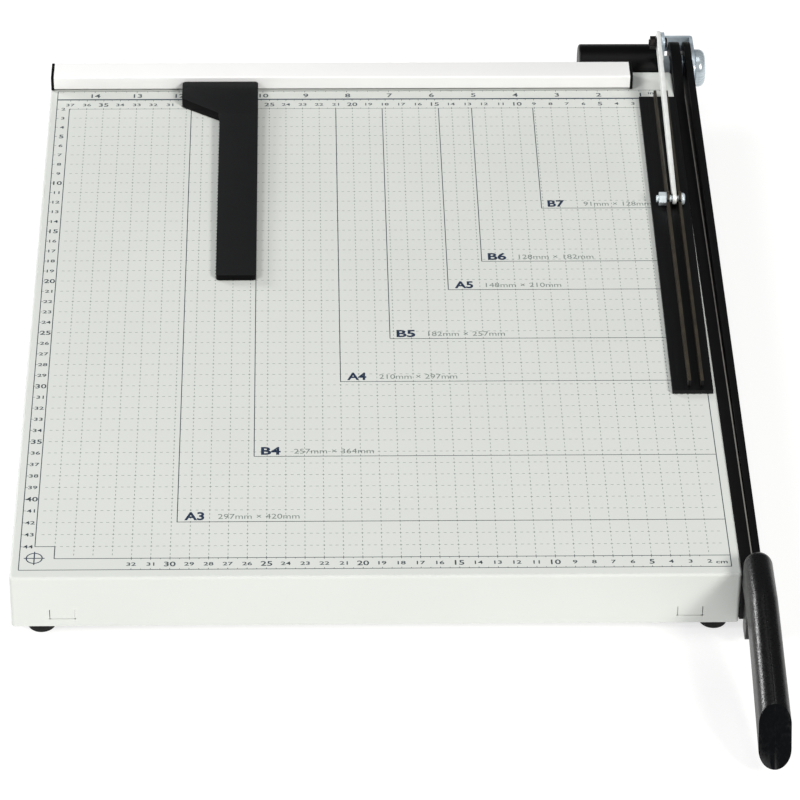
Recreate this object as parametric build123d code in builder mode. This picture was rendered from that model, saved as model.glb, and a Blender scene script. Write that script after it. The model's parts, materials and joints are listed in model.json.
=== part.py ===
from build123d import *
import math
import os

# Guillotine paper cutter, millimetres, +Z up, the operator stands at -Y.
# Every place below is given from three working lines: the cutting line (x = 0),
# the front face of the fence (y = 0) and the table top (z = 0).
cut_line_x = 184.4
fence_face_y = 263.71
table_top_z = 40.0

# table
table_left = -384.6
table_right = -6.0
table_front = -466.0
table_back = 20.8
table_height = 32.0
sheet = 1.2
corner_radius = 2.0
edge_radius = 1.5

# feet
foot_height = 8.0
foot_radius = 7.9
foot_inset_left = 15.0
foot_inset_right = 12.3
foot_inset_front = 11.7
foot_inset_back = 13.5

# fixed and moving knives
knife_thickness = 6.0
knife_depth = 30.0
blade_thickness = 4.0
blade_gap_pivot = 2.4
blade_gap_front = 1.3
blade_front = -479.0
ear_radius = 16.0

# pivot
pivot_y = 36.0
pivot_z = -7.0
bolt_radius = 4.0
running_clearance = 0.05

# pivot bracket
bracket_sheet = 2.0
leg_left = -13.3
leg_right = 9.2
web_y = 53.2
link_pin_y = 22.0
link_pin_z = 20.0

# clamp
clamp_yaw = 0.43
clamp_rest = 0.3
clamp_plate = 2.4
clamp_pin_z = 6.3
clamp_pin_y = -128.0
clamp_back = -12.0
clamp_front = -310.0
pin_radius = 2.0

# handle
handle_centre = 1.5
handle_width = 15.0
handle_end_width = 17.0
handle_height = 26.2
handle_top = 14.5
handle_nose = -468.2
nose_clearance = 0.6
handle_bend = -497.0
handle_slope = 0.22

# fence and stop
fence_depth = 17.0
fence_height = 9.8
fence_left = -382.4
fence_right = -33.0
fence_gap = 1.7
stop_clear = 0.3
stop_top = 7.2

os.makedirs("parts", exist_ok=True)


def at(x, y, z):
    """A point given from the cutting line, the fence face and the table top."""
    return (cut_line_x + x, fence_face_y + y, table_top_z + z)


def side_plane(x):
    """Local x is +Y, local y is +Z, and it extrudes towards +X."""
    return Plane(origin=at(x, 0, 0), x_dir=(0, 1, 0), z_dir=(1, 0, 0))


def top_plane(z):
    """Local x is +X, local y is +Y, and it extrudes towards +Z."""
    return Plane(origin=at(0, 0, z))


def front_plane(y):
    """Local x is +X, local y is +Z, and it extrudes towards -Y."""
    return Plane(origin=at(0, y, 0), x_dir=(1, 0, 0), z_dir=(0, -1, 0))


def turned_plane(x, y, z, angle):
    """A side plane through one point, turned a little about the vertical."""
    turn = math.radians(angle)
    return Plane(
        origin=at(x, y, z),
        x_dir=(math.sin(turn), math.cos(turn), 0),
        z_dir=(math.cos(turn), -math.sin(turn), 0),
    )


def save(piece, name):
    piece.part.label = name
    export_step(piece.part, f"parts/{name}.step")


foot_spots = [
    (x, y)
    for x in (table_left + foot_inset_left, table_right - foot_inset_right)
    for y in (table_front + foot_inset_front, table_back - foot_inset_back)
]
knife_screw_y = [-440.0 + 105.0 * n for n in range(5)]
knife_screw_z = -15.0
fence_screw_spots = [(-350.0, 12.0), (-208.0, 12.0), (-66.0, 12.0)]
bracket_screw_x = [-31.0, -19.0]
flange_left = -40.0
bracket_screw_z = -24.0

# The steel tray: a table with four turned-down walls, open underneath.
tray_width = table_right - table_left
tray_length = table_back - table_front
tray_x = (table_left + table_right) / 2
tray_y = (table_front + table_back) / 2
tab_spots = [-358.0, -31.8]
tab_width = 13.0
tab_top = -21.2
tab_bottom = -27.2
tab_slit = 0.4

with BuildPart() as base_tray:
    with BuildSketch(top_plane(-table_height)):
        with Locations((tray_x, tray_y)):
            RectangleRounded(tray_width, tray_length, corner_radius)
    extrude(amount=table_height)
    fillet(base_tray.faces().sort_by(Axis.Z)[-1].edges(), edge_radius)
    offset(amount=-sheet, openings=base_tray.faces().sort_by(Axis.Z)[0])
    # lanced tabs in the front and rear walls: two side slits and one below
    for wall_y in (table_front + 2 * sheet, table_back + sheet):
        with BuildSketch(front_plane(wall_y)):
            for tab_x in tab_spots:
                for side in (-1, 1):
                    with Locations((tab_x + side * tab_width / 2, (tab_top + tab_bottom) / 2)):
                        Rectangle(tab_slit, tab_top - tab_bottom)
                    with Locations((tab_x + side * tab_width / 2, tab_bottom)):
                        Circle(0.6)
                with Locations((tab_x, tab_bottom)):
                    Rectangle(tab_width, tab_slit)
        extrude(amount=3 * sheet, mode=Mode.SUBTRACT)
    # holes for the knife screws, the fence screws and the bracket screws
    with BuildSketch(side_plane(table_right - 2 * sheet)):
        with Locations(*[(y, knife_screw_z) for y in knife_screw_y]):
            Circle(2.7)
    extrude(amount=3 * sheet, mode=Mode.SUBTRACT)
    with BuildSketch(top_plane(-2 * sheet)):
        with Locations(*fence_screw_spots):
            Circle(1.7)
    extrude(amount=3 * sheet, mode=Mode.SUBTRACT)
    with BuildSketch(front_plane(table_back + sheet)):
        with Locations(*[(x, bracket_screw_z) for x in bracket_screw_x]):
            Circle(2.6)
    extrude(amount=3 * sheet, mode=Mode.SUBTRACT)
save(base_tray, "base_tray")

# Two folded channels stiffen the table and carry the feet.
stiffener_width = 28.0
stiffener_front = table_front + 5
stiffener_back = table_back - 5
flange_bottom = -31.2


def make_stiffener(outer_x, inward):
    inner_x = outer_x + inward * stiffener_width
    middle_x = (outer_x + inner_x) / 2
    with BuildPart() as channel:
        with BuildSketch(front_plane(stiffener_back)):
            with Locations((middle_x, flange_bottom + sheet / 2)):
                Rectangle(stiffener_width, sheet)
            with Locations((middle_x, -1.5 * sheet)):
                Rectangle(stiffener_width, sheet)
            with Locations((inner_x - inward * sheet / 2, (flange_bottom - sheet) / 2)):
                Rectangle(sheet, -flange_bottom - sheet)
        extrude(amount=stiffener_back - stiffener_front)
        with BuildSketch(top_plane(flange_bottom - sheet)):
            with Locations(*[spot for spot in foot_spots if abs(spot[0] - middle_x) < stiffener_width]):
                Circle(1.7)
        extrude(amount=3 * sheet, mode=Mode.SUBTRACT)
    return channel


save(make_stiffener(table_left + 4, 1), "stiffener_left")
save(make_stiffener(table_right - 4, -1), "stiffener_right")

# Four tapered rubber feet, each with a recessed hole for its screw.
with BuildPart() as feet:
    with BuildSketch(top_plane(flange_bottom)):
        with Locations(*foot_spots):
            Circle(foot_radius)
    extrude(amount=-(table_height + foot_height + flange_bottom), taper=4)
    fillet(feet.edges().group_by(Axis.Z)[0], 0.5)
    with BuildSketch(top_plane(-table_height - foot_height)):
        with Locations(*foot_spots):
            Circle(4.2)
    extrude(amount=4.5, mode=Mode.SUBTRACT)
    with BuildSketch(top_plane(-table_height - foot_height)):
        with Locations(*foot_spots):
            Circle(1.7)
    extrude(amount=foot_height + 2, mode=Mode.SUBTRACT)
save(feet, "feet")

foot_screw_head_z = -table_height - foot_height + 4.5
with BuildPart() as foot_screws:
    with BuildSketch(top_plane(foot_screw_head_z)):
        with Locations(*foot_spots):
            Circle(3.6)
    extrude(amount=-2.2)
    fillet(foot_screws.edges().group_by(Axis.Z)[0], 0.8)
    with BuildSketch(top_plane(foot_screw_head_z)):
        with Locations(*foot_spots):
            Circle(1.6)
    extrude(amount=10.0)
save(foot_screws, "foot_screws")

# The fixed knife: a bar along the right wall whose rear ear carries the pivot.
with BuildPart() as bed_knife:
    with BuildSketch(side_plane(-knife_thickness)):
        with BuildLine():
            Polyline(
                (pivot_y, pivot_z - ear_radius),
                (10, -knife_depth),
                (table_front, -knife_depth),
                (table_front, 0),
                (-8, 0),
                (20, pivot_z + ear_radius),
                (pivot_y, pivot_z + ear_radius),
            )
            ThreePointArc(
                (pivot_y, pivot_z + ear_radius),
                (pivot_y + ear_radius, pivot_z),
                (pivot_y, pivot_z - ear_radius),
            )
        make_face()
    extrude(amount=knife_thickness)
    # the ground cutting edge
    cutting_edge = bed_knife.edges().filter_by(Axis.Y).group_by(Axis.Z)[-1].sort_by(Axis.X)[-1]
    chamfer(cutting_edge, 0.5)
    with BuildSketch(side_plane(-knife_thickness)):
        with Locations((pivot_y, pivot_z)):
            Circle(bolt_radius + running_clearance)
    extrude(amount=knife_thickness, mode=Mode.SUBTRACT)
    with Locations(*[Plane(origin=at(0, y, knife_screw_z), z_dir=(1, 0, 0)) for y in knife_screw_y]):
        CounterSinkHole(2.6, 5.2, counter_sink_angle=90)
save(bed_knife, "bed_knife")

with BuildPart() as knife_screws:
    for y in knife_screw_y:
        with BuildSketch(side_plane(-0.2)):
            with Locations((y, knife_screw_z)):
                Circle(4.8)
        extrude(amount=-2.4, taper=45)
        with BuildSketch(side_plane(-0.2)):
            with Locations((y, knife_screw_z)):
                Circle(2.45)
        extrude(amount=-12.6)
        with BuildSketch(side_plane(-0.2)):
            with Locations((y, knife_screw_z)):
                RegularPolygon(1.7, 6)
        extrude(amount=-1.6, mode=Mode.SUBTRACT)
save(knife_screws, "knife_screws")

with BuildPart() as knife_nuts:
    with BuildSketch(side_plane(table_right - sheet)):
        with Locations(*[(y, knife_screw_z) for y in knife_screw_y]):
            RegularPolygon(4.0, 6, major_radius=False)
            Circle(2.5, mode=Mode.SUBTRACT)
    extrude(amount=-4.0)
save(knife_nuts, "knife_nuts")

# The fence: a folded channel, open at the foot of its front wall for the stop's tongue.
with BuildPart() as fence:
    with BuildSketch(side_plane(fence_left)):
        with Locations((fence_depth / 2, fence_height - sheet / 2)):
            Rectangle(fence_depth, sheet)
        with Locations((sheet / 2, (fence_height + fence_gap) / 2)):
            Rectangle(sheet, fence_height - fence_gap)
        with Locations((fence_depth - sheet / 2, fence_height / 2)):
            Rectangle(sheet, fence_height)
        with Locations((fence_depth - 5, sheet / 2)):
            Rectangle(10, sheet)
    extrude(amount=fence_right - fence_left)
    top_edges = fence.edges().filter_by(Axis.X).group_by(Axis.Z)[-1]
    fillet(top_edges, 1.0)
    with BuildSketch(top_plane(-sheet)):
        with Locations(*fence_screw_spots):
            Circle(1.7)
    extrude(amount=3 * sheet, mode=Mode.SUBTRACT)
save(fence, "fence")

with BuildPart() as fence_screws:
    with BuildSketch(top_plane(sheet)):
        with Locations(*fence_screw_spots):
            Circle(3.2)
    extrude(amount=2.2)
    fillet(fence_screws.edges().group_by(Axis.Z)[-1], 0.9)
    with BuildSketch(top_plane(sheet)):
        with Locations(*fence_screw_spots):
            Circle(1.6)
    extrude(amount=-8.0)
save(fence_screws, "fence_screws")


# Moulded end caps plug the fence.
def make_fence_cap(face_x, outward):
    with BuildPart() as cap:
        with BuildSketch(side_plane(face_x)):
            with Locations((fence_depth / 2, fence_height / 2 + 0.1)):
                RectangleRounded(fence_depth, fence_height - 0.2, 1.0)
        extrude(amount=outward * 1.8)
        with BuildSketch(side_plane(face_x)):
            with Locations((fence_depth / 2, fence_height / 2)):
                Rectangle(fence_depth - 2 * sheet - 0.4, fence_height - 2 * sheet - 0.4)
        extrude(amount=-outward * 8.0)
        fillet(cap.faces().sort_by(Axis.X)[0 if outward < 0 else -1].edges(), 0.5)
    return cap


save(make_fence_cap(fence_left, -1), "fence_cap_left")
save(make_fence_cap(fence_right, 1), "fence_cap_right")

# The sliding paper stop: a head against the fence and a long leg.
stop_left = -304.6
stop_right = -258.8
leg_left_x = -281.7
leg_end = -200.4
leg_end_top = 3.8
head_front = -34.0
head_front_top = 5.7
tongue_left = -296.0
tongue_right = -264.0
rivet_spots = [(-288.0, -10.0), (-272.0, -10.0)]

with BuildPart() as paper_stop:
    with BuildSketch(top_plane(stop_clear)):
        with BuildLine():
            Polyline(
                (stop_left, -0.4),
                (stop_right, -0.4),
                (stop_right, leg_end),
                (leg_left_x, leg_end),
                (leg_left_x, head_front),
                (stop_left, -18.4),
                close=True,
            )
        make_face()
        fillet(vertices(), 2.0)
    extrude(amount=stop_top - stop_clear)
    fillet(paper_stop.faces().sort_by(Axis.Z)[-1].edges(), 0.6)
    # the head slopes a little, and the leg thins towards its end
    with BuildSketch(side_plane(stop_left - 1)):
        with BuildLine():
            Polyline(
                (-8.0, stop_top),
                (head_front, head_front_top),
                (leg_end - 1, leg_end_top),
                (leg_end - 1, stop_top + 1),
                (-8.0, stop_top + 1),
                close=True,
            )
        make_face()
    extrude(amount=stop_right - stop_left + 2, mode=Mode.SUBTRACT)
    # the recess for the tongue
    with BuildSketch(top_plane(stop_clear)):
        with Locations(((tongue_left + tongue_right) / 2, -9)):
            Rectangle(tongue_right - tongue_left + 0.4, 18)
    extrude(amount=1.1, mode=Mode.SUBTRACT)
    with BuildSketch(top_plane(stop_clear)):
        with Locations(*rivet_spots):
            Circle(1.5)
    extrude(amount=3.7, mode=Mode.SUBTRACT)
save(paper_stop, "paper_stop")

# The steel tongue runs under the fence and turns up behind its front wall.
with BuildPart() as stop_tongue:
    with BuildSketch(side_plane(tongue_left)):
        with Locations((-7.4, stop_clear + 0.5)):
            Rectangle(20.8, 1.0)
        with Locations((2.5, 3.0)):
            Rectangle(1.0, 5.4)
    extrude(amount=tongue_right - tongue_left)
    with BuildSketch(top_plane(stop_clear)):
        with Locations(*rivet_spots):
            Circle(1.5)
    extrude(amount=1.0, mode=Mode.SUBTRACT)
save(stop_tongue, "stop_tongue")

with BuildPart() as stop_rivets:
    with BuildSketch(top_plane(stop_clear + 0.1)):
        with Locations(*rivet_spots):
            Circle(1.5)
    extrude(amount=3.5)
save(stop_rivets, "stop_rivets")

# The pivot bracket: a folded strap round the back of the knives.
with BuildPart() as pivot_bracket:
    with BuildSketch(side_plane(leg_left)):
        with BuildLine():
            Polyline(
                (table_back + 0.1, -30),
                (table_back + 0.1, 6),
                (16.5, 15),
                (16.5, 25.5),
                (27.5, 25.5),
                (29, 19),
                (43, 4.5),
                (web_y + bracket_sheet, 4.5),
                (web_y + bracket_sheet, -5.6),
                (46, -18),
                (30, -30),
                close=True,
            )
        make_face()
        fillet(vertices().group_by(Axis.Y)[-1], 4.5)
    extrude(amount=bracket_sheet)
    # the right leg, round the bolt head
    with BuildSketch(side_plane(leg_right - bracket_sheet)):
        with Locations((pivot_y, pivot_z)):
            Circle(12)
        with BuildLine():
            Polyline(
                (pivot_y, pivot_z + 12),
                (web_y + bracket_sheet, 4.5),
                (web_y + bracket_sheet, -5.6),
                (pivot_y + 3, pivot_z - 11.6),
                close=True,
            )
        make_face()
    extrude(amount=bracket_sheet)
    # the rear web joins the legs
    with BuildSketch(side_plane(leg_left)):
        with Locations((web_y + bracket_sheet / 2, -0.55)):
            Rectangle(bracket_sheet, 10.1)
    extrude(amount=leg_right - leg_left)
    # the flange that bolts to the rear wall
    with BuildSketch(front_plane(table_back + 0.1)):
        with Locations(((leg_left + bracket_sheet + flange_left) / 2, -23.5)):
            Rectangle(leg_left + bracket_sheet - flange_left, 13)
    extrude(amount=-bracket_sheet)
    with BuildSketch(side_plane(leg_left)):
        with Locations((pivot_y, pivot_z)):
            Circle(bolt_radius + running_clearance)
    extrude(amount=leg_right - leg_left, mode=Mode.SUBTRACT)
    with BuildSketch(side_plane(leg_left)):
        with Locations((link_pin_y, link_pin_z)):
            Circle(pin_radius + running_clearance)
    extrude(amount=bracket_sheet, mode=Mode.SUBTRACT)
    with BuildSketch(front_plane(table_back + 3)):
        with Locations(*[(x, bracket_screw_z) for x in bracket_screw_x]):
            Circle(2.6)
    extrude(amount=4, mode=Mode.SUBTRACT)
    # rounded folds at the two rear corners
    rear_corners = pivot_bracket.edges().filter_by(Axis.Z).group_by(Axis.Y)[-1]
    fillet(rear_corners, 1.9)
save(pivot_bracket, "pivot_bracket")

with BuildPart() as bracket_screws:
    with BuildSketch(front_plane(table_back + 0.1 + bracket_sheet)):
        with Locations(*[(x, bracket_screw_z) for x in bracket_screw_x]):
            Circle(4.2)
    extrude(amount=-2.8)
    fillet(bracket_screws.edges().group_by(Axis.Y)[-1], 1.2)
    with BuildSketch(front_plane(table_back + 0.1 + bracket_sheet)):
        with Locations(*[(x, bracket_screw_z) for x in bracket_screw_x]):
            Circle(2.45)
    extrude(amount=10)
save(bracket_screws, "bracket_screws")

with BuildPart() as bracket_nuts:
    with BuildSketch(front_plane(table_back - sheet)):
        with Locations(*[(x, bracket_screw_z) for x in bracket_screw_x]):
            RegularPolygon(4.0, 6, major_radius=False)
            Circle(2.5, mode=Mode.SUBTRACT)
    extrude(amount=4.0)
save(bracket_nuts, "bracket_nuts")

# The pivot: one long dome-headed bolt through bracket, blade, ear, bracket and spring.
bolt_end = -58.0
head_x = leg_right + 0.2
with BuildPart() as pivot_bolt:
    with BuildSketch(side_plane(head_x)):
        with Locations((pivot_y, pivot_z)):
            Circle(11.5)
    extrude(amount=6.4)
    fillet(pivot_bolt.edges().group_by(Axis.X)[-1], 4.0)
    fillet(pivot_bolt.edges().group_by(Axis.X)[0], 0.5)
    with BuildSketch(side_plane(bolt_end)):
        with Locations((pivot_y, pivot_z)):
            Circle(bolt_radius)
    extrude(amount=head_x - bolt_end)
    chamfer(pivot_bolt.edges().group_by(Axis.X)[0], 0.6)
save(pivot_bolt, "pivot_bolt")


def make_ring(start_x, end_x, outer, inner):
    with BuildPart() as ring:
        with BuildSketch(side_plane(start_x)):
            with Locations((pivot_y, pivot_z)):
                Circle(outer)
                Circle(inner, mode=Mode.SUBTRACT)
        extrude(amount=end_x - start_x)
    return ring


def make_pivot_nut(start_x, end_x):
    with BuildPart() as nut:
        with BuildSketch(side_plane(start_x)):
            with Locations((pivot_y, pivot_z)):
                RegularPolygon(6.5, 6, major_radius=False)
                Circle(bolt_radius, mode=Mode.SUBTRACT)
        extrude(amount=end_x - start_x)
    return nut


bush_radius = 6.0
hole = bolt_radius + running_clearance
save(make_ring(0.1, blade_gap_pivot - 0.3, 8.0, hole), "inner_washer")
save(make_ring(6.7, leg_right - bracket_sheet - 0.1, 9.0, hole), "outer_washer")
save(make_ring(2.6, 6.2, bush_radius, hole), "pivot_bush")
save(make_pivot_nut(-11.2, -6.1), "pivot_nut")
save(make_pivot_nut(-56.4, -50.0), "lock_nut")
save(make_ring(-50.0, -48.2, 12.0, hole), "spring_collar")

cover_inner = 13.0
cover_outer = 14.8
with BuildPart() as spring_seat:
    with BuildSketch(side_plane(-15.4)):
        with Locations((pivot_y, pivot_z)):
            Circle(cover_inner)
            Circle(hole, mode=Mode.SUBTRACT)
    extrude(amount=2.0)
    with BuildSketch(side_plane(-15.4)):
        with Locations((pivot_y, pivot_z)):
            Circle(6.5)
            Circle(hole, mode=Mode.SUBTRACT)
    extrude(amount=-3.0)
save(spring_seat, "spring_seat")

# A compression spring keeps the moving blade pulled against the fixed one.
spring_wire = 1.0
spring_radius = 8.6
spring_start = -46.8
spring_length = 30.0
spring_turns = 7
with BuildPart() as pivot_spring:
    with BuildLine():
        coil = Helix(
            spring_length / spring_turns,
            spring_length,
            spring_radius,
            center=at(spring_start, pivot_y, pivot_z),
            direction=(1, 0, 0),
        )
    with BuildSketch(Plane(origin=coil @ 0, z_dir=coil % 0)):
        Circle(spring_wire)
    sweep(path=coil, is_frenet=True)
save(pivot_spring, "pivot_spring")

with BuildPart() as spring_cover:
    with BuildSketch(side_plane(leg_left - 0.2)):
        with Locations((pivot_y, pivot_z)):
            Circle(cover_outer)
    extrude(amount=-48.6)
    fillet(spring_cover.edges().group_by(Axis.X)[0], 1.6)
    with BuildSketch(side_plane(leg_left - 0.2)):
        with Locations((pivot_y, pivot_z)):
            Circle(cover_inner)
    extrude(amount=-46.6, mode=Mode.SUBTRACT)
save(spring_cover, "spring_cover")

# The moving blade: a plate set slightly askew, so that it closes on the fixed knife.
blade_skew = math.degrees(math.atan((blade_gap_pivot - blade_gap_front) / (pivot_y - table_front)))
blade_plane = turned_plane(blade_gap_pivot, pivot_y, pivot_z, blade_skew)
tang_slope = -handle_slope
tang_end = -556.0


def blade_point(y, z):
    return (y - pivot_y, z - pivot_z)


with BuildPart() as moving_blade:
    with BuildSketch(blade_plane):
        with BuildLine():
            Polyline(
                blade_point(pivot_y, pivot_z + ear_radius),
                blade_point(handle_nose, -2.2),
                blade_point(handle_bend, -3.0),
                blade_point(tang_end, -3.0 + (handle_bend - tang_end) * tang_slope),
                blade_point(tang_end, -14.0 + (handle_bend - tang_end) * tang_slope),
                blade_point(handle_bend, -14.0),
                blade_point(blade_front - 6, -16.0),
                blade_point(blade_front, -32.0),
            )
            # the cutting edge bellies a little towards the front
            ThreePointArc(
                blade_point(blade_front, -32.0),
                blade_point(-230, -31.0),
                blade_point(pivot_y, pivot_z - ear_radius),
            )
            ThreePointArc(
                blade_point(pivot_y, pivot_z - ear_radius),
                blade_point(pivot_y + ear_radius, pivot_z),
                blade_point(pivot_y, pivot_z + ear_radius),
            )
        make_face()
    extrude(amount=blade_thickness)
    toe = moving_blade.edges().filter_by(GeomType.LINE).group_by(Axis.Z)[0]
    fillet(toe, 5.0)
    with BuildSketch(side_plane(0)):
        with Locations((pivot_y, pivot_z)):
            Circle(bush_radius)
    extrude(amount=10, mode=Mode.SUBTRACT)
    screw_spots = [(-505.0, -8.4), (-548.0, -18.0)]
    with BuildSketch(side_plane(-2)):
        with Locations(*screw_spots):
            Circle(1.9)
    extrude(amount=10, mode=Mode.SUBTRACT)
save(moving_blade, "moving_blade")

# The handle: an upright oval section that runs down to a slanted end.
end_section_y = -595.0
end_top_y = -566.6
end_lean = 0.539
screw_head_x = 6.5
lug_left = -4.4
lug_right = 0.3
lug_back = -470.0
lug_front = -483.0
lug_bottom = -31.2


def handle_top_at(y):
    return handle_top + min(0.0, y - handle_bend) * handle_slope


def handle_half(keep_left):
    with BuildPart() as half:
        for y, width in (
            (handle_nose, handle_width),
            (handle_bend, handle_width),
            (end_section_y, handle_end_width),
        ):
            with BuildSketch(front_plane(y)):
                with Locations((handle_centre, handle_top_at(y) - handle_height / 2)):
                    SlotOverall(handle_height, width, rotation=90)
        loft(ruled=True)
        # the rear end is rounded about an upright axis
        with BuildSketch(side_plane(handle_centre)):
            with BuildLine():
                low = handle_top - handle_height
                radius = handle_width / 2
                Line((handle_nose, low), (handle_nose, handle_top))
                ThreePointArc(
                    (handle_nose, handle_top),
                    (handle_nose + radius * math.sin(math.pi / 4), handle_top - radius * (1 - math.cos(math.pi / 4))),
                    (handle_nose + radius, handle_top - radius),
                )
                Line((handle_nose + radius, handle_top - radius), (handle_nose + radius, low + radius))
                ThreePointArc(
                    (handle_nose + radius, low + radius),
                    (handle_nose + radius * math.sin(math.pi / 4), low + radius * (1 - math.cos(math.pi / 4))),
                    (handle_nose, low),
                )
            make_face()
        revolve(axis=Axis(at(handle_centre, handle_nose, 0), (0, 0, 1)), revolution_arc=360)
        # the slanted end
        with BuildSketch(side_plane(-20)):
            with BuildLine():
                Polyline(
                    (end_top_y + end_lean * 6, handle_top_at(end_top_y) + 6),
                    (end_top_y - end_lean * 44, handle_top_at(end_top_y) - 44),
                    (end_top_y - 60, handle_top_at(end_top_y) - 44),
                    (end_top_y - 60, handle_top_at(end_top_y) + 6),
                    close=True,
                )
            make_face()
        extrude(amount=40, mode=Mode.SUBTRACT)
        # the nose rests above the fixed knife and stands clear of the table's front wall
        with BuildSketch(side_plane(-20)):
            with BuildLine():
                Polyline(
                    (table_front - nose_clearance, nose_clearance),
                    (table_front + handle_width, nose_clearance),
                    (table_front + handle_width, -2 * handle_height),
                    (table_front - nose_clearance, -2 * handle_height),
                    close=True,
                )
            make_face()
        extrude(amount=40, mode=Mode.SUBTRACT)
        # the slot for the tang and the exposed toe of the blade
        with BuildSketch(side_plane(0.7)):
            with BuildLine():
                Polyline(
                    (handle_nose + 10, -1.4),
                    (handle_bend, -2.4),
                    (tang_end - 1, -2.3 + (handle_bend - tang_end) * tang_slope),
                    (tang_end - 1, -15.0 + (handle_bend - tang_end) * tang_slope),
                    (handle_bend, -14.8),
                    (blade_front - 7, -16.6),
                    (blade_front - 7, -30),
                    (handle_nose + 10, -30),
                    close=True,
                )
            make_face()
        extrude(amount=5.2, mode=Mode.SUBTRACT)
        # screw holes, with a recess for each head on the right
        with BuildSketch(side_plane(-4)):
            with Locations(*screw_spots):
                Circle(1.85)
        extrude(amount=20, mode=Mode.SUBTRACT)
        with BuildSketch(side_plane(screw_head_x)):
            with Locations(*screw_spots):
                Circle(3.1)
        extrude(amount=10, mode=Mode.SUBTRACT)
        split(bisect_by=side_plane(handle_centre), keep=Keep.BOTTOM if keep_left else Keep.TOP)
        if keep_left:
            # the stop lug that hangs below the nose, in front of the table
            with BuildSketch(side_plane(lug_left)):
                with BuildLine():
                    Polyline(
                        (lug_back, handle_top - handle_height + 3),
                        (lug_back, lug_bottom),
                        (lug_front, lug_bottom),
                        (lug_front, handle_top - handle_height + 3),
                        close=True,
                    )
                make_face()
                fillet(vertices().group_by(Axis.Y)[0], 3.0)
            extrude(amount=lug_right - lug_left)
    return half


save(handle_half(True), "handle_left")
save(handle_half(False), "handle_right")

with BuildPart() as handle_screws:
    with BuildSketch(side_plane(screw_head_x)):
        with Locations(*screw_spots):
            Circle(2.8)
    extrude(amount=1.0)
    with BuildSketch(side_plane(-3.5)):
        with Locations(*screw_spots):
            Circle(1.8)
    extrude(amount=screw_head_x + 3.5)
    with BuildSketch(side_plane(screw_head_x + 0.5)):
        with Locations(*screw_spots):
            Rectangle(3.2, 0.7)
            Rectangle(0.7, 3.2)
    extrude(amount=2, mode=Mode.SUBTRACT)
save(handle_screws, "handle_screws")

# The clamp link and the clamp share one plane, turned a little about the vertical.
link_x = -14.7
link_half = 1.2


def clamp_plane(offset_x):
    """Side plane of the clamp: local zero is the link's rear pin."""
    return turned_plane(link_x, link_pin_y, link_pin_z, clamp_yaw).offset(offset_x)


link_reach = link_pin_y - clamp_pin_y
link_drop = link_pin_z - clamp_pin_z
link_slope = math.atan2(link_drop, link_reach)
link_span = math.hypot(link_reach, link_drop)
link_front_radius = 3.3
link_rear_radius = 5.2
link_tail = 3.0

level = clamp_plane(-link_half)
link_plane = Plane(
    origin=level.origin,
    x_dir=level.x_dir * math.cos(link_slope) + level.y_dir * math.sin(link_slope),
    z_dir=level.z_dir,
)
with BuildPart() as clamp_link:
    with BuildSketch(link_plane):
        with BuildLine():
            Polyline(
                (link_tail, link_rear_radius),
                (-8, link_rear_radius - 0.6),
                (-link_span, link_front_radius),
                (-link_span, -link_front_radius),
                (-8, -link_rear_radius + 0.6),
                (link_tail, -link_rear_radius),
                close=True,
            )
        make_face()
        with Locations((link_tail, 0)):
            Circle(link_rear_radius)
        with Locations((-link_span, 0)):
            Circle(link_front_radius)
        with Locations((0, 0), (-link_span, 0)):
            Circle(pin_radius + running_clearance, mode=Mode.SUBTRACT)
    extrude(amount=2 * link_half)
save(clamp_link, "clamp_link")

with BuildPart() as link_bolt:
    with BuildSketch(side_plane(leg_left + bracket_sheet)):
        with Locations((link_pin_y, link_pin_z)):
            Circle(3.3)
    extrude(amount=1.7)
    fillet(link_bolt.edges().group_by(Axis.X)[-1], 1.0)
    with BuildSketch(side_plane(leg_left + bracket_sheet)):
        with Locations((link_pin_y, link_pin_z)):
            Circle(pin_radius)
    extrude(amount=-9.4)
save(link_bolt, "link_bolt")

with BuildPart() as link_nut:
    with BuildSketch(side_plane(-16.3)):
        with Locations((link_pin_y, link_pin_z)):
            RegularPolygon(3.5, 6, major_radius=False)
            Circle(pin_radius, mode=Mode.SUBTRACT)
    extrude(amount=-3.6)
save(link_nut, "link_nut")

# The clamp: a flat aluminium strip with two ribs, and lugs for the pin.
clamp_left_x = -13.3
clamp_right_x = 9.1
rib_left = -3.8
rib_right = 3.1
rib_thickness = 1.6
rib_top = 7.1


def clamp_point(y, z):
    return (y - link_pin_y, z - link_pin_z)


with BuildPart() as clamp_bar:
    with BuildSketch(clamp_plane(clamp_left_x)):
        with Locations(clamp_point((clamp_back + clamp_front) / 2, clamp_rest + clamp_plate / 2)):
            Rectangle(clamp_back - clamp_front, clamp_plate)
    extrude(amount=clamp_right_x - clamp_left_x)
    for rib_x in (rib_left, rib_right):
        with BuildSketch(clamp_plane(rib_x - rib_thickness / 2)):
            rib_base = clamp_rest + clamp_plate - 0.2
            with Locations(clamp_point((clamp_back + clamp_front + 3) / 2, (rib_base + rib_top) / 2)):
                Rectangle(clamp_back - clamp_front - 3, rib_top - rib_base)
            with Locations(clamp_point(clamp_pin_y, clamp_pin_z)):
                Circle(4.4)
            with Locations(clamp_point(clamp_pin_y, clamp_rest + clamp_plate)):
                Rectangle(10, 0.4)
            with Locations(clamp_point(clamp_pin_y, clamp_rest)):
                Rectangle(12, 2 * clamp_plate, mode=Mode.SUBTRACT)
            with Locations(clamp_point(clamp_pin_y, clamp_rest + clamp_plate - 0.1)):
                Rectangle(8, 0.4)
            with Locations(clamp_point(clamp_pin_y, clamp_pin_z)):
                Circle(pin_radius + running_clearance, mode=Mode.SUBTRACT)
        extrude(amount=rib_thickness)
save(clamp_bar, "clamp_bar")

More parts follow.
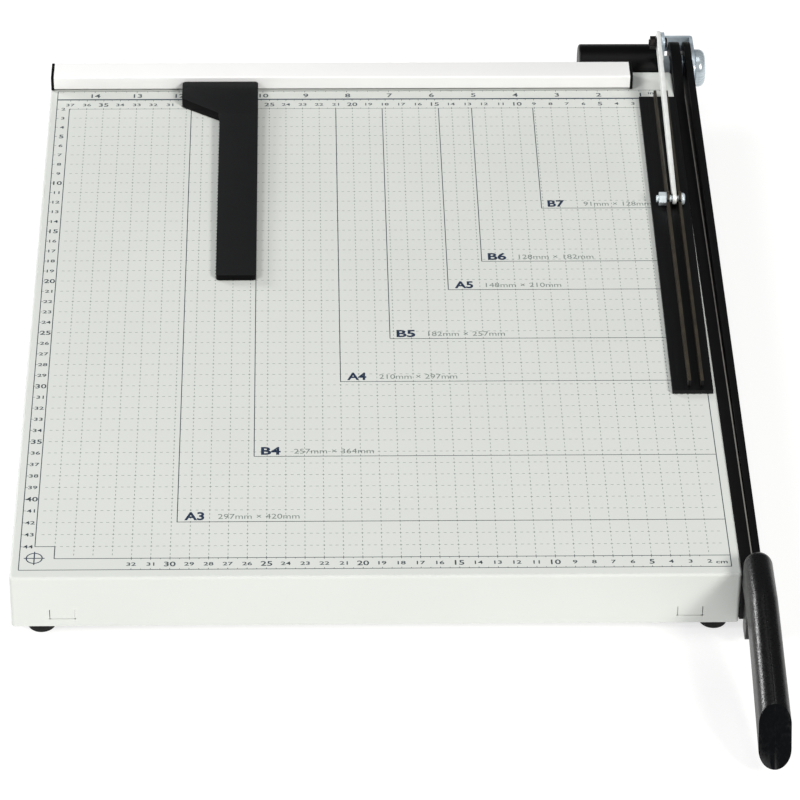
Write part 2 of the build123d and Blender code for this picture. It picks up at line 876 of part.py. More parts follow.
with BuildPart() as clamp_bolt:
    with BuildSketch(clamp_plane(rib_right + rib_thickness / 2)):
        with Locations(clamp_point(clamp_pin_y, clamp_pin_z)):
            Circle(3.5)
    extrude(amount=2.2)
    fillet(clamp_bolt.edges().group_by(Axis.X)[-1], 1.3)
    with BuildSketch(clamp_plane(rib_right + rib_thickness / 2)):
        with Locations(clamp_point(clamp_pin_y, clamp_pin_z)):
            Circle(pin_radius)
    extrude(amount=-14.4)
save(clamp_bolt, "clamp_bolt")

with BuildPart() as clamp_nut:
    with BuildSketch(clamp_plane(rib_left - rib_thickness / 2)):
        with Locations(clamp_point(clamp_pin_y, clamp_pin_z)):
            RegularPolygon(3.4, 6, major_radius=False)
            Circle(pin_radius, mode=Mode.SUBTRACT)
    extrude(amount=-4.4)
save(clamp_nut, "clamp_nut")
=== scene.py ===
import json
import math
import bmesh
import bpy
import numpy as np
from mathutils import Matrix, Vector

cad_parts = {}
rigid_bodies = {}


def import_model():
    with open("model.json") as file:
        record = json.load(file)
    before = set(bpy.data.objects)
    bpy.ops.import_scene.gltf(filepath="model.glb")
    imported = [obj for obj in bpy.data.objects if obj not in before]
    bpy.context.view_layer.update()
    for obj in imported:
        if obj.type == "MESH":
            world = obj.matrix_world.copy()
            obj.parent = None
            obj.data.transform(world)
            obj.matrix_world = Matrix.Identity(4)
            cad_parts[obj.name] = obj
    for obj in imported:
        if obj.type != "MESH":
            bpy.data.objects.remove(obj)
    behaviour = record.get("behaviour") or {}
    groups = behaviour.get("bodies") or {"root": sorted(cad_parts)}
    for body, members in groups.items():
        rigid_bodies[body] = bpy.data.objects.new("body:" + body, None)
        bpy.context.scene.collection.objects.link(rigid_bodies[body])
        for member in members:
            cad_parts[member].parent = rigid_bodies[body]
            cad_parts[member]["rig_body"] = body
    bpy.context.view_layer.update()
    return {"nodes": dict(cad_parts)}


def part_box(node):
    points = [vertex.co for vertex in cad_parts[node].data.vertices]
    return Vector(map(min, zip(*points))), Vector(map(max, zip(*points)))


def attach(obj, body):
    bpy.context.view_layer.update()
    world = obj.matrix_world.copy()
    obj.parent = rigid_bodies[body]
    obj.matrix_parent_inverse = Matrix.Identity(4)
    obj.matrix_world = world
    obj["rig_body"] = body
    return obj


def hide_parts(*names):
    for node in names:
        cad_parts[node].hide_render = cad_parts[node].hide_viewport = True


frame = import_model()

scene = bpy.context.scene
scene.view_settings.view_transform = "Standard"
scene.view_settings.look = "None"

mm = 0.001
inch = 25.4  # mm
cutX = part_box("bed_knife")[1].x  # the cutting line
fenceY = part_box("fence")[0].y  # front face of the fence
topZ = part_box("base_tray")[1].z  # table top


def at(x, y, z):
    # a point in mm from the cutting line, the fence face and the table top
    return Vector((cutX + x * mm, fenceY + y * mm, topZ + z * mm))


shot = {
    "place": (-233.8, -2091.5, 1329.2),  # mm from the working lines
    "turn": (53.22, -0.624, -1.276),  # degrees
    "lens": 183.04,  # mm, on a 36 mm wide sensor
    "sensor": 36.0,
    "near": 0.05,  # m, nothing closer is drawn
}


def makeCamera(look):
    cam = bpy.data.objects.new("camera", bpy.data.cameras.new("camera"))
    scene.collection.objects.link(cam)
    cam.location = at(*look["place"])
    cam.rotation_euler = [math.radians(a) for a in look["turn"]]
    cam.data.lens = look["lens"]
    cam.data.sensor_width = look["sensor"]
    cam.data.clip_start = look["near"]
    scene.camera = cam


makeCamera(shot)

studio = {
    "floorSize": 14.0,  # m
    "floorHex": "A8A8A7",  # matt paper
    "floorRough": 0.9,
    "floorSpecular": 0.1,
    "floorGlow": 0.68,  # the table under the cutter is lit from below
    "worldHex": "F3F6FA",
    "worldStrength": 0.16,
    "boxes": {  # name: place and aim in mm, size in m, watts, hex
        "frontLeftBox": ((-3100, -2700, 3200), (-150, -250, 0), 1.5, 112.0, "FFFFFF"),
        "frontRightBox": ((2300, -3500, 2900), (-100, -300, 0), 1.1, 178.0, "FFFDFA"),
        "overheadBox": ((-200, -300, 4200), (-200, -300, 0), 2.0, 36.0, "FFFFFF"),
        "backLeftStrip": ((-2500, 1220, 900), (0, -530, 0), 0.7, 44.0, "FFFFFF"),
    },
}


def fromHex(code, alpha=1.0):
    # sRGB hex to linear light: below 0.04045 divide by 12.92, above it the 2.4 power
    parts = [int(code[i:i + 2], 16) / 255 for i in (0, 2, 4)]
    return [c / 12.92 if c <= 0.04045 else ((c + 0.055) / 1.055) ** 2.4 for c in parts] + [alpha]


def addNode(tree, kind, settings=None, links=None):
    # settings are attributes or input values, links are input name: output socket
    node = tree.nodes.new(kind)
    for key, value in (settings or {}).items():
        if isinstance(key, int) or key in node.inputs:
            node.inputs[key].default_value = value
        else:
            setattr(node, key, value)
    for key, socket in (links or {}).items():
        tree.links.new(socket, node.inputs[key])
    return node


def makeStudio(look):
    world = bpy.data.worlds.new("studio")
    scene.world = world
    world.use_nodes = True
    sky = world.node_tree.nodes["Background"]
    sky.inputs["Color"].default_value = fromHex(look["worldHex"])
    sky.inputs["Strength"].default_value = look["worldStrength"]
    half = look["floorSize"] / 2
    flat = bpy.data.meshes.new("floor")
    corners = [(-half, -half, 0), (half, -half, 0), (half, half, 0), (-half, half, 0)]
    flat.from_pydata(corners, [], [(0, 1, 2, 3)])
    floor = bpy.data.objects.new("floor", flat)
    scene.collection.objects.link(floor)
    paper = bpy.data.materials.new("backdropPaper")
    paper.use_nodes = True
    matt = paper.node_tree.nodes["Principled BSDF"]
    matt.inputs["Base Color"].default_value = fromHex(look["floorHex"])
    matt.inputs["Roughness"].default_value = look["floorRough"]
    matt.inputs["Specular IOR Level"].default_value = look["floorSpecular"]
    matt.inputs["Emission Color"].default_value = fromHex("FFFFFF")
    matt.inputs["Emission Strength"].default_value = look["floorGlow"]
    flat.materials.append(paper)
    for name, (place, aim, size, watts, tint) in look["boxes"].items():
        lamp = bpy.data.lights.new(name, "AREA")
        lamp.shape = "SQUARE"
        lamp.size = size
        lamp.energy = watts
        lamp.color = fromHex(tint)[:3]
        box = bpy.data.objects.new(name, lamp)
        scene.collection.objects.link(box)
        box.location = at(*place)
        box.rotation_euler = (at(*aim) - box.location).to_track_quat("-Z", "Y").to_euler()


makeStudio(studio)
print("studio ready")


def startMaterial(name, finish):
    mat = bpy.data.materials.new(name)
    mat.use_nodes = True
    shader = mat.node_tree.nodes["Principled BSDF"]
    for key, value in finish.items():
        shader.inputs[key].default_value = value
    place = addNode(mat.node_tree, "ShaderNodeTexCoord").outputs["Object"]
    return mat, mat.node_tree, shader, place


def grain(tree, place, sizeMm, detail=2.0, stretch=(1, 1, 1), rough=0.5):
    # noise whose features are about sizeMm across
    spread = addNode(tree, "ShaderNodeMapping", {"Scale": stretch}, {"Vector": place})
    settings = {"Scale": 1 / (sizeMm * mm), "Detail": detail, "Roughness": rough}
    noise = addNode(tree, "ShaderNodeTexNoise", settings, {"Vector": spread.outputs["Vector"]})
    return noise.outputs["Fac"]


def vary(tree, fac, low, high):
    # a value that follows the pattern between low and high
    settings = {"From Min": 0.3, "From Max": 0.7, "To Min": low, "To Max": high}
    return addNode(tree, "ShaderNodeMapRange", settings, {"Value": fac}).outputs["Result"]


def tintBetween(tree, fac, first, second):
    # a colour that follows the pattern between two hex values
    ramp = addNode(tree, "ShaderNodeValToRGB", None, {"Fac": fac})
    ramp.color_ramp.elements[0].position = 0.3
    ramp.color_ramp.elements[0].color = fromHex(first)
    ramp.color_ramp.elements[1].position = 0.7
    ramp.color_ramp.elements[1].color = fromHex(second)
    return ramp.outputs["Color"]


def bumps(tree, shader, height, depthMm, strength=1.0):
    settings = {"Distance": depthMm * mm, "Strength": strength}
    bump = addNode(tree, "ShaderNodeBump", settings, {"Height": height})
    tree.links.new(bump.outputs["Normal"], shader.inputs["Normal"])


def powderCoat(name, light, dark, roughness):
    # polyester powder coat: semi-gloss with a very faint orange peel about 1.5 mm across
    mat, tree, shader, place = startMaterial(name, {"Roughness": roughness, "IOR": 1.5})
    tree.links.new(tintBetween(tree, grain(tree, place, 60, 3), light, dark), shader.inputs["Base Color"])
    gloss = vary(tree, grain(tree, place, 9, 2), roughness - 0.03, roughness + 0.04)
    tree.links.new(gloss, shader.inputs["Roughness"])
    bumps(tree, shader, grain(tree, place, 1.5, 1), 0.012, 0.5)
    return mat


def mouldedPlastic(name, light, dark, roughness, grainMm, depthMm, specular=0.5):
    # ABS moulded in a spark-eroded tool: an even, fine, pebbled skin
    mat, tree, shader, place = startMaterial(
        name, {"Roughness": roughness, "IOR": 1.53, "Specular IOR Level": specular})
    pebble = grain(tree, place, grainMm, 1.5, rough=0.6)
    tree.links.new(tintBetween(tree, grain(tree, place, 14, 3), light, dark), shader.inputs["Base Color"])
    tree.links.new(vary(tree, pebble, roughness - 0.06, roughness + 0.08), shader.inputs["Roughness"])
    bumps(tree, shader, pebble, depthMm, 0.8)
    return mat


def drawnMetal(name, light, dark, roughness, along, grainMm=0.35, metallic=1.0, depthMm=0.004, specular=0.5):
    # rolled or drawn metal: fine lines along one axis, and slow cloudy changes of polish
    mat, tree, shader, place = startMaterial(
        name, {"Metallic": metallic, "Roughness": roughness, "Specular IOR Level": specular})
    stretch = [1, 1, 1]
    stretch[along] = 0.02
    lines = grain(tree, place, grainMm, 2, stretch)
    tree.links.new(tintBetween(tree, grain(tree, place, 7, 3), light, dark), shader.inputs["Base Color"])
    tree.links.new(vary(tree, lines, roughness - 0.05, roughness + 0.09), shader.inputs["Roughness"])
    bumps(tree, shader, lines, depthMm, 0.5)
    return mat


def zincSheet(name, light, dark, cellMm):
    # hot-dip galvanised sheet: flat crystals, each with its own brightness
    mat, tree, shader, place = startMaterial(name, {"Metallic": 1.0, "Roughness": 0.42})
    settings = {"Scale": 1 / (cellMm * mm), "Randomness": 1.0}
    cells = addNode(tree, "ShaderNodeTexVoronoi", settings, {"Vector": place})
    grey = addNode(tree, "ShaderNodeSeparateColor", None, {"Color": cells.outputs["Color"]}).outputs["Red"]
    tree.links.new(tintBetween(tree, grey, light, dark), shader.inputs["Base Color"])
    tree.links.new(vary(tree, grey, 0.32, 0.5), shader.inputs["Roughness"])
    return mat


def printedInk(name, hexCode, roughness=0.45):
    # pad-printed ink: thin, slightly uneven in density
    mat, tree, shader, place = startMaterial(name, {"Roughness": roughness, "IOR": 1.48})
    soft = fromHex(hexCode)
    lighter = [min(1.0, c * 1.25) for c in soft[:3]] + [1.0]
    mix = addNode(tree, "ShaderNodeMix", {"data_type": "RGBA"}, {0: grain(tree, place, 1.2, 2)})
    mix.inputs[6].default_value = soft
    mix.inputs[7].default_value = lighter
    tree.links.new(mix.outputs[2], shader.inputs["Base Color"])
    return mat


# off-white table paint with a faint orange peel, and a whiter coat on the fence
tableEnamel = powderCoat("tableEnamel", "D0D3CE", "CED1CC", 0.42)
fenceEnamel = powderCoat("fenceEnamel", "EDEDEC", "EBEBEA", 0.42)
# ABS: a fine matt skin on the stop's level faces, and glossier upright sides whose darker colour is painted
# shade
stopAbs = mouldedPlastic("stopAbs", "0E0F10", "0B0C0D", 0.55, 0.5, 0.03, 0.25)
stopShadedSidesAbs = mouldedPlastic("stopShadedSidesAbs", "020203", "010101", 0.16, 0.6, 0.002, 0.1)
# ABS: a pebbled grip that breaks up its highlights, with a polished end face and rim;
# the real pebbles are finer, and are drawn 1 mm across so that they show
handleAbs = mouldedPlastic("handleAbs", "040405", "030304", 0.31, 1.0, 0.09, 0.32)
polishedAbs = mouldedPlastic("polishedAbs", "020304", "010203", 0.12, 2.0, 0.004, 0.4)
# ABS: deep black with very little shine, on the fence caps and the spring cover
capAbs = mouldedPlastic("capAbs", "020202", "010101", 0.4, 0.6, 0.02, 0.12)
# stoved lacquer on the knives and black anodising on the clamp, with a painted highlight in olive-brown on
# the tops and left sides of its ribs
blackLacquer = drawnMetal("blackLacquer", "09090A", "070708", 0.5, 1, 0.8, 0.0, 0.006, 0.12)
anodisedBlack = drawnMetal("anodisedBlack", "050506", "030304", 0.42, 1, 0.5, 0.0, 0.006, 0.25)
ribPaintedHighlight = drawnMetal("ribPaintedHighlight", "3F3A2F", "302C25", 0.4, 1, 0.5, 0.2, 0.006, 0.4)
# steel drawn dark brown-black: the pin and nut that hold the link to the rear bracket
darkPinSteel = drawnMetal("darkPinSteel", "1D1713", "100D0B", 0.35, 0, 0.6, 0.5)
# blue-white zinc plate: half metal, half milky, so it stays pale where nothing bright is reflected
brightZinc = drawnMetal("brightZinc", "C9D6DE", "A9B6C0", 0.36, 2, 1.5, 0.45)
nutZinc = drawnMetal("nutZinc", "E2ECEF", "D0DADF", 0.34, 2, 1.5, 0.4)
# nickel plate: satin on the link bar, glossier on the domed bolt
nickelBar = drawnMetal("nickelBar", "F4F6F3", "E8EAE7", 0.5, 1, 0.5, 0.35)
nickelBolt = drawnMetal("nickelBolt", "C3CFD5", "AFBBC2", 0.24, 0, 0.8, 0.45)
# bare metals: dull ground steel on the knife's lip, drawn spring wire and turned brass inside
groundSteel = drawnMetal("groundSteel", "96938D", "83807A", 0.45, 1, 0.25, 0.5)
springSteel = drawnMetal("springSteel", "6C6C6E", "58585A", 0.35, 0, 0.4)
turnedBrass = drawnMetal("turnedBrass", "C9A45A", "B8924A", 0.3, 0, 0.3)
# galvanised sheet on the strips under the table and the stop's tongue: grey crystals 7 mm across
galvanised = zincSheet("galvanised", "B4B8BA", "8F9497", 7.0)
# moulded rubber: matt, and a little greyer than the plastics
footRubber = mouldedPlastic("footRubber", "0B0B0B", "070707", 0.75, 0.8, 0.04, 0.3)
# pad-printed inks: dark blue names and heavy rule, grey scales, pale dashes and size texts
inkNavy = printedInk("inkNavy", "1C2B42")
inkBlue = printedInk("inkBlue", "1B3244")
inkGrey = printedInk("inkGrey", "353F46")
inkPale = printedInk("inkPale", "6A7370")

finishes = {
    "base_tray": tableEnamel, "fence": fenceEnamel, "paper_stop": stopAbs,
    "fence_cap_left": capAbs, "fence_cap_right": capAbs, "spring_cover": capAbs,
    "bed_knife": blackLacquer, "moving_blade": blackLacquer, "clamp_bar": anodisedBlack,
    "handle_left": handleAbs, "handle_right": handleAbs, "clamp_link": nickelBar,
    "pivot_bolt": nickelBolt, "pivot_nut": nutZinc, "link_bolt": darkPinSteel, "link_nut": darkPinSteel,
    "clamp_bolt": nutZinc, "clamp_nut": nutZinc, "feet": footRubber,
    "stiffener_left": galvanised, "stiffener_right": galvanised, "stop_tongue": galvanised,
    "pivot_spring": springSteel, "pivot_bush": turnedBrass,
}
for name, node in frame["nodes"].items():
    node.data.materials.clear()
    node.data.materials.append(finishes.get(name, brightZinc))
print("materials ready:", len(frame["nodes"]), "nodes")


def putPiece(name, verts, faces, mat, body):
    # a mesh in world coordinates as a flat-shaded piece that rides a body
    mesh = bpy.data.meshes.new(name)
    mesh.from_pydata(np.asarray(verts).tolist(), [], [tuple(f) for f in np.asarray(faces).tolist()])
    mesh.materials.append(mat)
    mesh.update()
    piece = bpy.data.objects.new(name, mesh)
    scene.collection.objects.link(piece)
    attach(piece, body)
    return piece


boxCorners = np.array([(x, y, z) for z in (0, 1) for y in (0, 1) for x in (0, 1)], float)
boxFaces = np.array([
    (0, 2, 3, 1), (4, 5, 7, 6), (0, 1, 5, 4), (2, 6, 7, 3), (0, 4, 6, 2), (1, 3, 7, 5),
])


def bars(lows, highs):
    # many upright boxes at once: each corner is low + unit corner x (high - low)
    lows, highs = np.atleast_2d(lows), np.atleast_2d(highs)
    verts = (lows[:, None] + boxCorners[None] * (highs - lows)[:, None]).reshape(-1, 3)
    faces = (boxFaces[None] + 8 * np.arange(len(lows))[:, None, None]).reshape(-1, 4)
    return verts, faces


table = {
    "zeroX": -2.0,  # x where every scale and paper size starts, mm
    "left": -380.0, "right": -11.0, "back": -0.35, "front": -459.3,  # outer border
    "gridLeft": -372.4, "gridBack": -20.0, "gridFront": -450.0,  # border of the grid
    "stepX": -362.0, "stepY": -440.0,  # notch in the grid's front left corner
    "heavyY": -9.6, "heavy": 1.2,  # the heavy rule's place and width
    "line": 0.46, "thin": 0.28,  # line widths
    "dash": 1.5, "dashes": 3,  # dash length, and dashes to a centimetre
    "lift": 0.012, "ink": 0.018,  # mm above the enamel, and thickness
}
ticks = {  # how far each kind of mark runs from its line, mm
    "inch": 1.5, "quarterInch": 1.0, "heavyCm": 1.9, "heavyHalf": 1.5,
    "gridCm": (1.0, 1.0), "gridHalf": (0.8, 0.0),  # above and below the line
    "frontCm": (1.3, 1.2), "frontHalf": (0.0, 0.8), "edgeCm": 1.1, "edgeHalf": 0.8, "left": 1.4,
}
sizes = {  # paper size: width across and length down from the zero corner, mm
    "A3": (297, 420), "B4": (257, 364), "A4": (210, 297), "B5": (182, 257),
    "A5": (148, 210), "B6": (128, 182), "B7": (91, 128),
}


def inkBars(rects):
    rects = np.asarray(rects, float)
    z0, z1 = table["lift"], table["lift"] + table["ink"]
    lows = np.column_stack([rects[:, 0], rects[:, 1], np.full(len(rects), z0)])
    highs = np.column_stack([rects[:, 2], rects[:, 3], np.full(len(rects), z1)])
    verts, faces = bars(lows, highs)
    return verts * mm + np.array(at(0, 0, 0)), faces


def across(x0, x1, y, width):
    return (x0, y - width / 2, x1, y + width / 2)


def down(x, y0, y1, width):
    return (x - width / 2, min(y0, y1), x + width / 2, max(y0, y1))


def makeDashes(spec):
    # dash number n of a line is centred at n thirds of a centimetre from the zero corner
    pitch = 10.0 / spec["dashes"]
    half = spec["dash"] / 2
    rects = []
    for n in range(2, 37):  # columns at 2 to 36 cm
        x = spec["zeroX"] - 10.0 * n
        ys = np.arange(spec["gridBack"] - pitch, spec["gridFront"] + half, -pitch)
        rects += [down(x, y - half, y + half, spec["thin"]) for y in ys]
    for n in range(3, 45):  # rows at 3 to 44 cm, the last one stopping at the notch
        y = -10.0 * n
        xs = spec["zeroX"] - np.arange(20.0 - 2 * pitch, spec["zeroX"] - spec["gridLeft"] - 1, pitch)
        if n == 44:
            xs = xs[xs > spec["stepX"]]
        rects += [across(x - half, x + half, y, spec["thin"]) for x in xs if x < spec["right"] - 1]
    verts, faces = inkBars(rects)
    return putPiece("printedDashes", verts, faces, inkPale, "base")


def makeRules(spec):
    left, right, back, front = (spec[k] for k in ("left", "right", "back", "front"))
    line, thin = spec["line"], spec["thin"]
    rects = [
        across(left, right, back, thin), across(left, right, front, line),
        down(left, back, front, line), down(right, back, front, line),
        down(spec["gridLeft"], spec["gridBack"], spec["stepY"], line),
        across(spec["gridLeft"], spec["stepX"], spec["stepY"], line),
        down(spec["stepX"], spec["stepY"], spec["gridFront"], line),
        across(spec["stepX"], right, spec["gridFront"], line),
        across(spec["gridLeft"], right, spec["gridBack"], thin),
    ]
    for quarter in range(2, 60):  # inch scale, in quarter inches
        x = spec["zeroX"] - inch / 4 * quarter
        rects.append(down(x, back, back - ticks["inch" if quarter % 4 == 0 else "quarterInch"], thin))
    for half in range(5, 75):  # centimetre scale, in half centimetres
        x = spec["zeroX"] - 5.0 * half
        whole = half % 2 == 0
        tick = ticks["heavyCm" if whole else "heavyHalf"]
        rects.append(down(x, spec["heavyY"], spec["heavyY"] - tick, thin))
        above, below = ticks["gridCm" if whole else "gridHalf"]
        rects.append(down(x, spec["gridBack"] + above, spec["gridBack"] - below, thin))
        if half <= 64:  # the front scale ends at 32 cm
            edge = spec["gridFront"]
            above, below = ticks["frontCm" if whole else "frontHalf"]
            rects.append(down(x, edge + above, edge - below, thin))
            rects.append(down(x, front, front + ticks["edgeCm" if whole else "edgeHalf"], thin))
    for n in range(2, 45):
        rects.append(across(left, left + ticks["left"], -10.0 * n, thin))
    for wide, long in sizes.values():
        rects.append(down(spec["zeroX"] - wide, spec["gridBack"], -long, line))
        rects.append(across(spec["zeroX"] - wide, right, -long, line))
    verts, faces = inkBars(rects)
    putPiece("printedRules", verts, faces, inkGrey, "base")
    verts, faces = inkBars([across(left, right, spec["heavyY"], spec["heavy"])])
    return putPiece("printedHeavyRule", verts, faces, inkBlue, "base")


wordCache = {}


def wordMesh(word, heavy):
    # a word as vertices and triangles, one em high, solid, from the built-in face
    if (word, heavy) not in wordCache:
        curve = bpy.data.curves.new("word", "FONT")
        curve.body = word
        curve.size = 1.0
        curve.offset = heavy
        curve.extrude = 0.5
        curve.resolution_u = 3
        holder = bpy.data.objects.new("word", curve)
        scene.collection.objects.link(holder)
        bpy.context.view_layer.update()
        mesh = bpy.data.meshes.new_from_object(holder)
        mesh.calc_loop_triangles()
        co = np.empty(len(mesh.vertices) * 3)
        mesh.vertices.foreach_get("co", co)
        tris = np.empty(len(mesh.loop_triangles) * 3, int)
        mesh.loop_triangles.foreach_get("vertices", tris)
        bpy.data.objects.remove(holder)
        bpy.data.meshes.remove(mesh)
        wordCache[(word, heavy)] = (co.reshape(-1, 3), tris.reshape(-1, 3))
    return wordCache[(word, heavy)]


digitHigh = np.ptp(wordMesh("0", 0.0)[0][:, 1])


def setWords(name, rows, mat):
    # rows of word, x, y, height of a digit, widening, boldness, and where x is: 0 left, 0.5 middle, 1 right
    # every point is scaled from one em to the row's height, widened, and moved to its place
    allVerts, allFaces, count = [], [], 0
    for word, x, y, high, widen, heavy, anchor in rows:
        co, tris = wordMesh(word, heavy)
        scale = high / digitHigh
        flat = co.copy()
        flat[:, 0] = (co[:, 0] - co[:, 0].min() - anchor * np.ptp(co[:, 0])) * scale * widen + x
        flat[:, 1] = co[:, 1] * scale + y
        flat[:, 2] = table["lift"] + (co[:, 2] + 0.5) * table["ink"]
        allVerts.append(flat * mm + np.array(at(0, 0, 0)))
        allFaces.append(tris + count)
        count += len(flat)
    return putPiece(name, np.vstack(allVerts), np.vstack(allFaces), mat, "base")


numbers = {
    "small": 2.7, "large": 3.7, "inch": 3.9, "inWord": 2.8,  # heights, mm
    "wide": 1.38, "largeWide": 1.22, "smallBold": 0.012, "largeBold": 0.014,
    "topY": -15.4, "bottomY": -454.8, "leftX": -376.0, "inchY": -5.4,  # middles of the rows and the column
    "inchX": -1.4,  # the inch numbers stand this far from their marks' zero
    "cmAt": (-15.8, -456.7), "inAt": (-20.4, -5.0),  # where the two unit names stand
}


def makeNumbers(spec):
    rows = []

    def number(word, x, middleY, big, high=None):
        tall = high or (spec["large"] if big else spec["small"])
        wide, heavy = (spec["largeWide"], spec["largeBold"]) if big else (spec["wide"], spec["smallBold"])
        rows.append((word, x, middleY - tall / 2, tall, wide, heavy, 0.5))

    for n in range(3, 38):
        number(str(n), table["zeroX"] - 10.0 * n, spec["topY"], n % 5 == 0)
    for n in range(2, 45):
        number(str(n), spec["leftX"], -10.0 * n, n % 5 == 0)
    for n in range(2, 33):
        number(str(n), table["zeroX"] - 10.0 * n, spec["bottomY"], n % 5 == 0)
    for n in range(1, 15):
        number(str(n), spec["inchX"] - inch * n, spec["inchY"], True, spec["inch"])
    rows.append(("cm", *spec["cmAt"], spec["small"], spec["wide"], spec["smallBold"], 0.5))
    rows.append(("in", *spec["inAt"], spec["inWord"], spec["wide"], spec["smallBold"], 0.5))
    return setWords("printedNumbers", rows, inkGrey)


def widenTo(word, heavy, high, wide):
    # how much to stretch a word of this height sideways to make it this wide
    return wide * digitHigh / (high * np.ptp(wordMesh(word, heavy)[0][:, 0]))


sizeLabels = {  # mm from each paper's lower left corner, and widths of all sizes but B7, then of B7
    "nameAt": (3.7, 1.7), "nameHigh": 6.4, "nameWide": (10.5, 9.8), "nameBold": 0.03,
    "textEndAt": (64.2, 2.4), "textHigh": 4.2, "textWide": (42.8, 39.4), "textBold": -0.004,
}


def makeSizeLabels(spec):
    names, texts = [], []
    nameHigh, nameBold, textHigh, textBold = (
        spec[k] for k in ("nameHigh", "nameBold", "textHigh", "textBold"))
    for label, (wide, long) in sizes.items():
        x, y = table["zeroX"] - wide, -float(long)
        text = f"{wide}mm × {long}mm"
        which = 1 if label == "B7" else 0
        stretch = widenTo(label, nameBold, nameHigh, spec["nameWide"][which])
        nameX, nameY = x + spec["nameAt"][0], y + spec["nameAt"][1]
        names.append((label, nameX, nameY, nameHigh, stretch, nameBold, 0.0))
        stretch = widenTo(text, textBold, textHigh, spec["textWide"][which])
        textX, textY = x + spec["textEndAt"][0], y + spec["textEndAt"][1]
        texts.append((text, textX, textY, textHigh, stretch, textBold, 1.0))
    setWords("printedSizeNames", names, inkNavy)
    setWords("printedSizeText", texts, inkPale)


register = {
    "centre": (-372.3, -449.6), "radius": 4.1, "line": 0.6, "arm": 5.4, "steps": 64,
    "ringGap": 0.1, "barGap": 0.01,  # clear of the ring, and of the cross's other bar
    "tip": 1.0,  # length of the four ends outside the ring
}


def makeRegister(spec):
    # a plain register mark: a ring and a cross; the ring is a square section swept round a circle
    turn = np.linspace(0, 2 * np.pi, spec["steps"], endpoint=False)
    half, lift, ink = spec["line"] / 2, table["lift"], table["ink"]
    section = [(-half, lift), (half, lift), (half, lift + ink), (-half, lift + ink)]
    radius = spec["radius"] + np.array([row[0] for row in section])
    verts = np.stack([
        spec["centre"][0] + np.outer(np.cos(turn), radius),
        spec["centre"][1] + np.outer(np.sin(turn), radius),
        np.tile([row[1] for row in section], (len(turn), 1)),
    ], -1).reshape(-1, 3)
    r, c = np.meshgrid(np.arange(len(turn)), np.arange(4), indexing="ij")
    after, nxt = (r + 1) % len(turn), (c + 1) % 4
    faces = np.stack([r * 4 + c, after * 4 + c, after * 4 + nxt, r * 4 + nxt], -1).reshape(-1, 4)
    putPiece("printedRing", verts * mm + np.array(at(0, 0, 0)), faces, inkNavy, "base")
    x, y = spec["centre"]
    line, arm, tip = spec["line"], spec["arm"], spec["tip"]
    inner, clear = spec["radius"] - half - spec["ringGap"], half + spec["barGap"]
    crossVerts, crossFaces = inkBars([
        across(x - inner, x + inner, y, line),
        down(x, y + clear, y + inner, line), down(x, y - inner, y - clear, line),
        down(x, y + arm - tip, y + arm, line), down(x, y - arm, y - arm + tip, line),
        across(x - arm, x - arm + tip, y, line), across(x + arm - tip, x + arm, y, line),
    ])
    putPiece("printedCross", crossVerts, crossFaces, inkNavy, "base")


makeRegister(register)
makeDashes(table)
makeRules(table)
makeNumbers(numbers)
makeSizeLabels(sizeLabels)
print("printing ready")

eased = {  # node: piece name, edge radius in mm, slot, and a second finish for the faces along a direction
    # the stop's upright faces take a darker copy of its plastic: painted shade
    "paper_stop": ("stopPlate", 0.45, "stop_plastic", stopShadedSidesAbs, "upright"),
    # the clamp's rib tops and left sides take a painted highlight
    "clamp_bar": ("clampRail", 0.18, "clamp_black", ribPaintedHighlight, "ribs"),
    "moving_blade": ("bladeArm", 0.3, "black_enamel", None, None),
    "bed_knife": ("knifeBar", 0.2, "black_enamel", None, None),
    "fence": ("fenceRail", 0.5, "fence_white", None, None),
    "clamp_link": ("linkBar", 0.35, "link_chrome", None, None),
    "pivot_bracket": ("pivotClevis", 0.35, "zinc_plate", None, None),
    "fence_cap_left": ("fenceEndLeft", 0.3, "cap_plastic", None, None),
    "fence_cap_right": ("fenceEndRight", 0.3, "cap_plastic", None, None),
    "handle_left": ("gripLeft", 0.45, "handle_plastic", polishedAbs, "end"),
    "handle_right": ("gripRight", 0.45, "handle_plastic", polishedAbs, "end"),
}
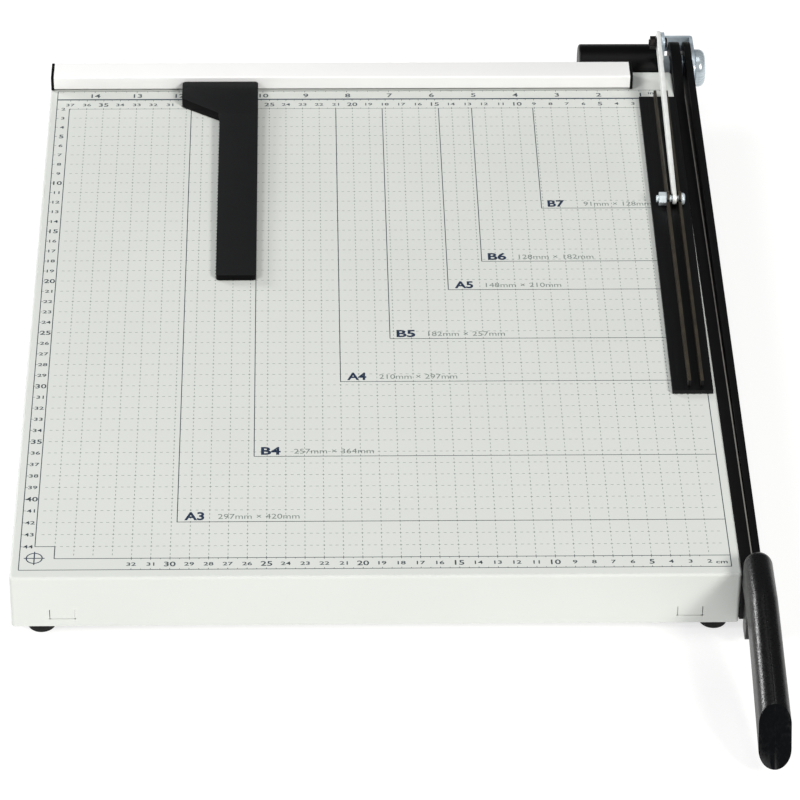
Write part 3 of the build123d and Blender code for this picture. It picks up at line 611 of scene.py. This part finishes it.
faceTests = {  # which faces take the second finish, by outward direction n and middle c
    "upright": lambda n, c: abs(n.z) < 0.3,
    "end": lambda n, c: n.y < -0.8 and n.z > 0.3,  # faces forwards and leans back
    "ribs": lambda n, c: c.z > topZ + 3.5 * mm and (n.z > 0.5 or n.x < -0.8),  # tops and left sides
}
easing = {
    "merge": 1e-6,  # m
    "flat": 1.0, "sharp": 32.0,  # degrees: joined into one face below, rounded above
    "segments": 3,
}


def easeEdges(node, name, radius, slotName, second, where):
    # a copy of the piece with its coplanar triangles joined and every sharp edge rounded
    source = frame["nodes"][node]
    mesh = source.data.copy()
    mesh.name = name
    work = bmesh.new()
    work.from_mesh(mesh)
    bmesh.ops.remove_doubles(work, verts=work.verts, dist=easing["merge"])
    flat = math.radians(easing["flat"])
    bmesh.ops.dissolve_limit(work, angle_limit=flat, verts=work.verts, edges=work.edges)
    bmesh.ops.recalc_face_normals(work, faces=work.faces)
    for face in work.faces:
        picked = second and faceTests[where](face.normal, face.calc_center_median())
        face.material_index = 1 if picked else 0
    work.to_mesh(mesh)
    work.free()
    if second:
        mesh.materials.append(second)
    piece = bpy.data.objects.new(name, mesh)
    scene.collection.objects.link(piece)
    mesh.shade_smooth()
    bevel = piece.modifiers.new("ease", "BEVEL")
    bevel.width = radius * mm
    bevel.segments = easing["segments"]
    bevel.limit_method = "ANGLE"
    bevel.angle_limit = math.radians(easing["sharp"])
    bevel.use_clamp_overlap = True
    bevel.harden_normals = True
    if where == "end":
        bevel.material = 1  # the rim round the end and the seam are polished too
    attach(piece, source["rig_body"])
    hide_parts(node)
    return piece


for node, plan in eased.items():
    easeEdges(node, *plan)
print("eased pieces ready")

groundEdge = {  # mm from the cutting line, the fence face and the table top
    "left": -0.05, "right": 0.6, "front": -465.8, "back": 14.0, "low": -2.2, "high": 0.03,
}


def makeGroundEdge(spec):
    # the bare ground lip along the fixed knife, where the coating has been cut away
    lows = [spec["left"], spec["front"], spec["low"]]
    highs = [spec["right"], spec["back"], spec["high"]]
    verts, faces = bars(lows, highs)
    verts = verts * mm + np.array(at(0, 0, 0))
    return putPiece("groundLip", verts, faces, groundSteel, "base")


makeGroundEdge(groundEdge)
